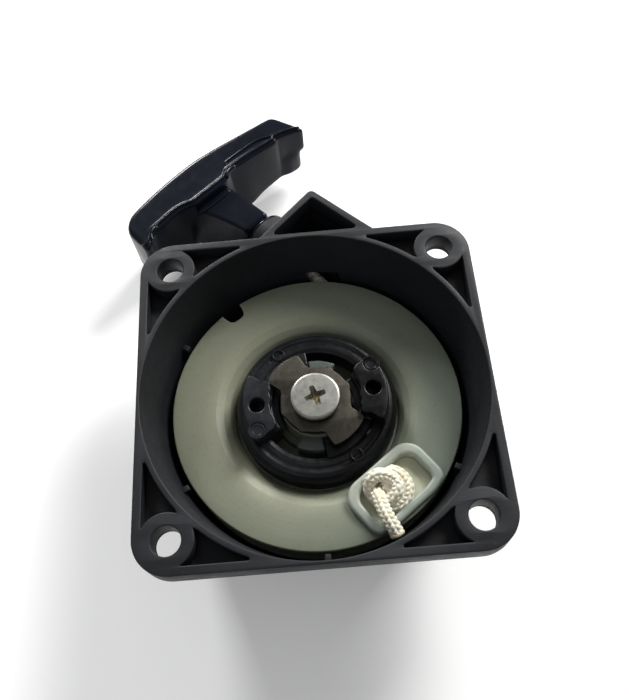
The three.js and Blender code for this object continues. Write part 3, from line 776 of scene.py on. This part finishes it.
def reel():
    well = plate([on_tray(13.6, 21.2, 3.9)], 16.9, 24, 0.1)
    slot = [(34.1, -2.3), (40, -3.5), (40, 3.5), (34.1, 2.3)]
    notch = plate([rotated(soften(slot, 2.2, True), NOTCH_ANGLE)], 15, 24, 0.1)
    rope_hole = lathe(rectangle(0, 12, ROPE_HOLE_R, 20), 40)
    rope_hole = placed(rope_hole, ROPE_HOLE_ANGLE, (*polar(ROPE_HOLE_AT, ROPE_HOLE_ANGLE), 0))
    body = cut(lathe(reel_profile(), 192), well, notch, rope_hole)
    lip = plate([on_tray(16.2, 23.8, 5.2), on_tray(10.8, 18.4, 3.4, 35.5)], 16.2, TRAY_LIP, 0.9, 5)
    tray_floor = cut(plate([on_tray(13.6, 21.2, 3.9, 36.9)], 16, TRAY_FLOOR, 0.1), rope_hole)
    lug = plate([sector(LUG_INNER, LUG_OUTER, LUG_FROM, LUG_TO, 1.0)], 13.7, LUG_TOP, 0.4, 3)
    piece("reel_moulding", body, "reel", "reel", "rope_reel", sharp=45)
    piece("rope_tray", lip, "reel", "tray", sharp=60, slot="reel")
    piece("rope_tray_floor", tray_floor, "reel", "tray_floor", sharp=60, slot="reel")
    piece("reel_lugs", joined(placed(lug, 0), placed(lug, 180)), "reel", "lug", slot="reel")


# ---------------------------------------------------------------- drive hub
DOG_OUTLINE = [
    (-17.2, 7.65), (-17.9, 5.7), (-18.45, 3.6), (-18.75, 1.2), (-18.8, -1.0), (-18.55, -3.2), (-18.0, -5.5),
    (-17.2, -7.5), (-16.6, -9.2), (-15.2, -10.1), (-13.6, -9.8), (-12.6, -8.9), (-11.2, -8.0), (-10.3, -6.7),
    (-10.6, -5.2), (-11.5, -3.2), (-11.8, -1.2), (-11.4, 0.6), (-11.7, 1.9), (-11.3, 3.0), (-11.6, 3.9),
    (-11.3, 4.8), (-12.4, 5.5), (-13.8, 5.6), (-15.4, 6.9),
]
DOG_HOLE_AT, DOG_MARK_AT = (-15.1, -1.1, 0), (-15.2, -7.9, 0)
HUB_MARK_AT = Vector((-9.3, 14.9, 0))


def dog():
    """One driving dog, with its blind hole and its ejector mark."""
    hole = circle(1.95, *DOG_HOLE_AT[:2], 40)
    mark = circle(1.9, *DOG_MARK_AT[:2], 40)
    block = plate([soften(DOG_OUTLINE, 0.7, closed=True, steps=3), hole, mark], 20.2, DOG_TOP, 0.45, 3)
    disc = [(0, 20.4), (1.88, 20.4), (1.88, 25.75), (1.5, 25.75), (1.2, 25.5), (0, 25.5)]
    mark_disc = placed(lathe(soften(disc, 0.15), 40), shift=DOG_MARK_AT)
    hole_floor = placed(lathe(rectangle(0, 20.3, 2.2, 20.9), 32), shift=DOG_HOLE_AT)
    return joined(block, mark_disc, hole_floor)


def hub_half(turn):
    """What stands on the ring twice: a low and a high land, the web between, an ejector mark and a dog."""
    ring_mark = lathe(soften(rectangle(1.25, 20.6, 1.8, 21.15), 0.15, True), 32)
    return [
        placed(plate([sector(LAND_INNER, LAND_OUTER, 97, 157)], HUB_BASE, HUB_FACE, 0.35), turn),
        placed(plate([sector(9.85, 12.5, 97.4, 214.4)], 19.75, 20.7, 0.2), turn),
        placed(plate([sector(LAND_INNER, LAND_OUTER, 155, 214.9)], HUB_BASE, 22.5, 0.45), turn),
        placed(ring_mark, turn, Matrix.Rotation(math.radians(turn), 3, "Z") @ HUB_MARK_AT),
        placed(dog(), turn),
    ]


def drive_hub():
    profile = [(HUB_BORE_R, HUB_BASE), (HUB_R, HUB_BASE), (HUB_R, 18.3), (20.85, 19.6), (20.0, 20.6),
               (19.2, 20.95), (18.7, 20.95), (18.3, 20.6), (17.6, 20.55), (17.2, 20.9), (16.0, 20.9),
               (15.4, 20.55), (HUB_BORE_R, 20.5)]
    spring_groove = lathe(rectangle(15.8, 13, 19.5, 18.6), 96)
    ring = cut(lathe(soften(profile, 0.35, closed=True, steps=3), 192), spring_groove)
    shape = joined(ring, *hub_half(0), *hub_half(180))
    piece("hub_with_dogs", shape, "drive_hub", "hub", "drive_hub", sharp=42)


# ---------------------------------------------------------------- plate and screw
def retainer_plate():
    """A punched plate with two square lobes; its waist swells a little in two places on each side."""
    half = []
    for angle in range(168, 277, 3):
        swell = sum(math.exp(-(((angle - middle) / 7) ** 2)) for middle in (200, 243))
        half.append(polar(9.1 + 0.55 * swell, angle))
    half += [polar(9.5, 281), polar(13.3, 286.5), *circle(13.6, steps=12, start=289, sweep=43),
             polar(13.3, 335), polar(9.5, 341)]
    outline = soften(half + rotated(half, 180), 0.9, closed=True, steps=3)
    flat = plate([outline, circle(SHANK_R + 0.1, steps=48)], PLATE_Z, PLATE_TOP, 0.16, 2)
    piece("retainer_plate_punched", flat, "reel", "plate", "retainer_plate", sharp=50)


def recess(*levels):
    """A cross-shaped punch through levels of (scale, height)."""
    cross = []
    for turn in (18, 108, 198, 288):
        cross += rotated([(0.8, -0.8), (2.75, -0.58), (2.75, 0.58)], turn)
    cross = soften(cross, 0.4, closed=True, steps=3)
    return loft([[(x * k, y * k, z) for x, y in cross] for k, z in levels])


def center_screw():
    shank = [(0, 11), (2.3, 11), (SHANK_R, 11.8), (SHANK_R, HEAD_SEAT)]
    head = [(6.4, HEAD_SEAT), (HEAD_R, 25.3), (HEAD_R, 25.85), (6.3, 26.25), (5.8, HEAD_TOP), (0, HEAD_TOP)]
    body = lathe(soften([*shank, *head], 0.18, steps=3), 128)
    body = cut(body, recess((0.34, 24.2), (0.85, 25.4), (0.97, 26.2), (1.14, 26.6)))
    recess_floor = recess((0.3, 24.1), (0.62, 24.75), (0.5, 24.85))
    piece("recess_floor", recess_floor, "housing", "yellow_zinc", slot="screw")
    piece("cross_recess_screw", body, "housing", "screw", "center_screw", sharp=40)


# ---------------------------------------------------------------- rope
KNOT_ROPE_R, COIL_ROPE_R, RUN_ROPE_R, TIGHT_ROPE_R, END_ROPE_R = 1.8, 1.66, 1.68, 1.38, 1.9
KNOT_BRAID, FINE_BRAID, END_BRAID = 0.42, 0.14, 0.12  # height of the grains
KNOT_R, KNOT_A, KNOT_OPEN, KNOT_STEPS = 3.1, 1.55, 0.16, 42  # the knot in the handle, a trefoil
TRAY_KNOT_AT = (-1.3, -1.2)

# the reel knot's turns in the tray: radius, degrees and height, round TRAY_KNOT_AT
TRAY_KNOT = [(0.2, 150, 21.9), (0.5, 170, 20.6), (1.1, 200, 19.3), (2.4, 262, 18.6), (4.0, 318, 18.9),
             (4.5, 345, 19.1), (4.6, 15, 19.2), (4.6, 50, 19.3), (4.5, 85, 19.3), (4.5, 120, 19.3),
             (4.5, 155, 19.3), (4.4, 190, 19.3), (4.3, 225, 19.2), (4.1, 258, 19.2), (3.6, 290, 19.5),
             (2.9, 322, 20.4), (2.3, 355, 21.2), (2.0, 35, 21.6), (1.9, 80, 21.7), (2.1, 125, 21.8),
             (2.8, 160, 22.1), (3.9, 185, 22.1), (4.8, 207, 21.4), (5.1, 226, 20.0), (4.4, 240, 18.8),
             (2.6, 245, 18.6)]
TAIL = [(-2.3, -4.0, 19.6), (-1.7, -4.7, 21.0), (-0.4, -5.3, 22.1), (1.9, -6.3, 22.8), (4.4, -7.1, 23.1),
        (6.8, -7.6, 22.8), (8.7, -8.0, 22.0)]

COIL_IN_R, LAYER_STEP, COLUMN_STEP = 25.5, 3.57, 3.6
RUN_LENGTH = 75.2
HANDLE_KNOT_AT = 78.8  # along the pull


def reel_knot():
    """The knot in the reel's tray, its cut tail, and the melted end of the tail."""
    x, y = TRAY_KNOT_AT
    turns = [(*polar(r, angle), z) for r, angle, z in TRAY_KNOT]
    route = [Vector((x + px, y + py, z)) for px, py, z in turns] + [Vector(p) for p in TAIL]
    to_tray = Matrix.Rotation(math.radians(TRAY_ANGLE), 4, "Z") @ Matrix.Translation((TRAY_R, 0, 0))
    route = [to_tray @ p for p in route]
    rope = tube(route, KNOT_ROPE_R, sides=56, step=0.15, braid=KNOT_BRAID, ends=0.5)
    piece("knot_and_tail", rope, "reel", "rope", "rope_knot", sharp=80)
    before, end = route[-2:]
    away = (end - before).normalized()
    stub = [end + away * d for d in (-0.7, -0.3, 0.0, 0.45)]
    cut_end = tube(stub, END_ROPE_R, sides=40, step=0.12, braid=END_BRAID, pitch=0.9, starts=7, ends=0.5)
    piece("melted_rope_end", cut_end, "reel", "rope_cut", sharp=80, slot="rope")


def ease(angle, low, high):
    t = min(1.0, max(0.0, (angle - low) / (high - low)))
    return t * t * (3 - 2 * t)


def rope_coil():
    """Three and a quarter turns on the drum, in two columns and two layers, from the hole under the knot."""
    turns = [(26.9, -57, 16.9), (26.9, -57, 15.9), (26.7, -56, 15), (26.2, -52.5, 14.3), (25.7, -47, ROPE_Z)]
    for i in range(59):
        angle = -40.5 + 20 * i
        r = COIL_IN_R + LAYER_STEP * ease(angle, 540, 602)
        z = ROPE_Z - COLUMN_STEP * (ease(angle, 258, 322) - ease(angle, 800, 862))
        turns.append((r, angle, z))
    route = [(*polar(r, angle), z) for r, angle, z in turns]
    rope = tube(route, COIL_ROPE_R, sides=24, step=0.4, braid=FINE_BRAID)
    piece("coil_on_drum", rope, "reel", "rope", "rope_coil", sharp=80)


def rope_run():
    """The straight rope from the coil to the handle, which stretches as the handle is pulled."""
    line = [(0, 0.4 + RUN_LENGTH * k / 30, ROPE_Z) for k in range(31)]
    rope = on_pull(tube(line, RUN_ROPE_R, sides=24, step=0.5))
    made = piece("rope_run_out", rope, None, "rope_run", "rope_run", sharp=80, slot="rope")
    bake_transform(made)


def handle_knot():
    laid = Matrix.Translation((0, HANDLE_KNOT_AT, ROPE_Z)) @ Matrix.Rotation(math.pi / 2, 4, "X")
    route = []
    for i in range(KNOT_STEPS + 1):
        t = KNOT_OPEN + (TAU - 2 * KNOT_OPEN) * i / KNOT_STEPS
        r = KNOT_R + KNOT_A * math.cos(3 * t)
        route.append(laid @ Vector((r * math.cos(2 * t), r * math.sin(2 * t), KNOT_A * math.sin(3 * t))))
    rope = on_pull(tube(route, TIGHT_ROPE_R, sides=24, step=0.3, braid=FINE_BRAID))
    piece("knot_in_handle", rope, "handle", "rope", "handle_knot", sharp=80)


# ---------------------------------------------------------------- rope guide and handle
# edges of the handle, across and along the pull: its back, the bead on its finger side, and below the bead
BACK_EDGE = [(-31.8, 78.3), (-28.5, 81.3), (-24.9, 82.6), (-16.4, 83.9), (-9.4, 84.5), (-1.3, 84.7),
             (6, 84.0), (14.3, 82.7), (20.5, 81.7), (24.9, 81.0), (28.2, 80.1)]
BEAD_EDGE = [(-31.8, 68.2), (-29.5, 69.2), (-26.7, 71.4), (-22.5, 71.9), (-16.7, 72.3), (-12.8, 71.6),
             (-11.2, 70.9), (-8, 70.9), (0.1, 71.0), (1.6, 71.3), (3.2, 72.2), (4.6, 72.7), (12.8, 72.3),
             (21.6, 71.4), (23.7, 72.0), (27.8, 70.8), (31.8, 68.7)]
FOOT_EDGE = [(-31.8, 70.6), (0, 70.4), (8, 70.2), (14.4, 71.2), (22, 71.5), (24, 71.2), (26, 70.3),
             (29, 70.0), (31.8, 70.8)]
LEAN, LEAN_FROM, LEAN_ABOUT = 0.36, 5, 69  # the far end leans inwards from here on, about this line
BACK_ROUND, BEAD_ROUND, FOOT_ROUND, HEEL_ROUND = 1.7, 1.0, 1.2, 1.4

# beads on the handle: radius, length of the rounded ends, and route
HANDLE_BEADS = [
    (0.5, 1.5, [(5.0, 75.2, 23.3), (5.6, 76.5, 23.4), (9.8, 76.5, 23.5), (15.0, 76.3, 23.5),
                (18.6, 75.8, 23.5), (22.3, 73.9, 23.5), (23.4, 73.0, 23.3)]),
    (0.75, 1.2, [(2.0, 71.7, 23.4), (3.4, 72.9, 23.6), (6.6, 73.4, 23.5)]),
    (0.65, 1.2, [(-28.4, 69.8, 23.2), (-27.2, 72.1, 23.5), (-24.4, 72.8, 23.5)]),
    (0.55, 1.2, [(-11.9, 69.6, 20.4), (-8, 69.1, 20.5), (-3, 69.2, 20.5), (0.6, 69.5, 20.4)]),
]


def rope_guide():
    profile = [(2.3, 41.6), (2.6, 41.25), (3.3, 41.1), (3.9, 41.25), (4.2, 41.8), (4.2, 53.02), (6.6, 53.02),
               (6.95, 53.35), (6.75, 53.9), (5.8, 54.15), (3.4, 54.15), (2.6, 53.8), (2.3, 53.2)]
    bush = along_pull(lathe(soften(profile, 0.3, closed=True, steps=3), 96))
    piece("guide_bush", bush, "housing", "guide", "rope_guide", sharp=45)


def smooth_line(edge):
    """The places across and along the pull of a smooth curve through an edge's points."""
    path, _ = resampled([(v, u, 0) for v, u in edge], 0.4)
    return path[:, 0], path[:, 1]


BACK_LINE, BEAD_LINE, FOOT_LINE = smooth_line(BACK_EDGE), smooth_line(BEAD_EDGE), smooth_line(FOOT_EDGE)


def arc_15(x, y, r, start):
    """A quarter circle from start degrees, in steps of 15."""
    return circle(r, x, y, 6, start, 90)


def grip_section(v, inset):
    """The bar's outline at v across the pull; it leans at its far end and has a bead on its finger edge."""
    lean = LEAN * max(0.0, v - LEAN_FROM) / (GRIP_HALF - LEAN_FROM)
    back = float(np.interp(v, *BACK_LINE))
    for _ in range(4):
        back = float(np.interp(v - lean * (back - LEAN_ABOUT), *BACK_LINE))
    back -= inset
    finger = float(np.interp(v, *BEAD_LINE)) + inset
    foot = float(np.interp(v, *FOOT_LINE)) + inset
    tip = 1 / (1 + math.exp((25.2 - v) / 0.5))
    low, high = GRIP_LOW + inset, GRIP_HIGH - inset
    back_flat, bead_flat, foot_flat = back - BACK_ROUND, finger + 2.6, foot + FOOT_ROUND

    outline = arc_15(back_flat, high - BACK_ROUND, BACK_ROUND, 0)
    outline += [(back_flat + (bead_flat - back_flat) * k / 10, high) for k in range(1, 10)]
    for k in range(15):
        u = bead_flat - 1.6 * k / 14
        outline.append((u, high + 0.6 * math.exp(-(((u - finger - 1.45) / 0.6) ** 2))))
    outline += arc_15(finger + BEAD_ROUND, high - BEAD_ROUND, BEAD_ROUND, 90)
    for k in range(1, 15):
        slope = k / 15
        z = high - 1.0 - (high - low - 2.4) * slope
        stepped = 1 / (1 + math.exp((z - 13.6) / 0.4))
        outline.append((finger + (foot - finger) * ((1 - tip) * slope + tip * stepped), z))
    outline += arc_15(foot_flat, low + FOOT_ROUND, FOOT_ROUND, 180)
    outline += [(foot_flat + (back - 2.6 - foot) * k / 8, low) for k in range(1, 8)]
    outline += arc_15(back - HEEL_ROUND, low + HEEL_ROUND, HEEL_ROUND, 270)
    return [(v - lean * (u - LEAN_ABOUT), u, z) for u, z in outline]


def grip():
    """The cross bar of the T, with both its ends rounded."""
    rounding = [(0.0, 1.5), (0.12, 0.95), (0.45, 0.45), (0.95, 0.15), (1.5, 0.0)]
    near = [(d - GRIP_HALF, inset) for d, inset in rounding]
    middle = [(v, 0.0) for v in np.linspace(2.0 - GRIP_HALF, GRIP_HALF - 2.0, 120)]
    far = [(-v, inset) for v, inset in reversed(near)]
    return loft([grip_section(v, inset) for v, inset in [*near, *middle, *far]])


def stem():
    """The foot of the T, which widens from its tip to the bar and has a slanted left flank."""
    r = 1.3
    sections = []
    for u in [STEM_TIP, 54.5, 54.9, 55.5, *np.linspace(56, 75, 20)]:
        inset = max(0.0, 0.9 - (u - STEM_TIP) * 0.9) ** 1.5
        t = min((u - STEM_TIP) / 16.6, 1.0)
        left, right = -6.2 - 4.9 * t**1.4 + inset, 3.2 - 1.6 * t - inset
        top, low = STEM_TOP - inset, STEM_LOW + inset
        flank = left + r - 4.5 * min(1.0, (u - STEM_TIP) / 6)
        corners = [(right - r, top - r), (left + r, top - r), (flank, low + r), (4.0 - r, low + r)]
        outline = sum([arc_15(x, z, r, 90 * k) for k, (x, z) in enumerate(corners)], [])
        sections.append([(x, u, z) for x, z in outline])
    return loft(sections)


def handle():
    chamber = on_rope_line(lathe(rectangle(0, CHAMBER_FLOOR, CHAMBER_R, 90), 64))
    bore = on_rope_line(lathe(rectangle(0, 40, BORE_R, 75), 64))
    beads = [tube(route, radius, sides=16, step=0.3, ends=ends) for radius, ends, route in HANDLE_BEADS]
    shape = on_pull(joined(cut(grip(), chamber, bore), cut(stem(), chamber, bore), *beads))
    piece("pull_handle", shape, "handle", "grip", "handle_grip", sharp=40)

    plug = soften([(0, 82.3), (6.75, 82.3), (6.65, 83.95), (0, 84.5)], 0.25, steps=3)
    piece("handle_plug", along_pull(lathe(plug, 96)), "handle", "grip", "handle_cap")


# ---------------------------------------------------------------- assembly
CARRIED = {
    "post_insert": "brass",
    "spring_case": "dark_steel",
    "recoil_spring": "spring_steel",
    "spring_cover": "dark_steel",
    "damper_spring": "spring_steel",
    "thrust_washer": "dark_steel",
    "screw_washer": "dark_steel",
    "knot_washer": "dark_steel",
}
FLOOR_HALF, FLOOR_Z = 3, -0.0001  # metres

housing()
reel()
drive_hub()
retainer_plate()
center_screw()
reel_knot()
rope_coil()
rope_run()
handle_knot()
rope_guide()
handle()

for node, look in CARRIED.items():
    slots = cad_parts[node].material_slots
    if len(slots):
        for place in slots:
            place.material = LOOK[look]
    else:
        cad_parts[node].data.materials.append(LOOK[look])

floor_mesh = bpy.data.meshes.new("floor")
floor_corners = [(x * FLOOR_HALF, y * FLOOR_HALF, FLOOR_Z) for x, y in ((-1, -1), (1, -1), (1, 1), (-1, 1))]
floor_mesh.from_pydata(floor_corners, [], [(0, 1, 2, 3)])
floor = bpy.data.objects.new("floor", floor_mesh)
bpy.context.scene.collection.objects.link(floor)
floor_mesh.materials.append(pale_floor())
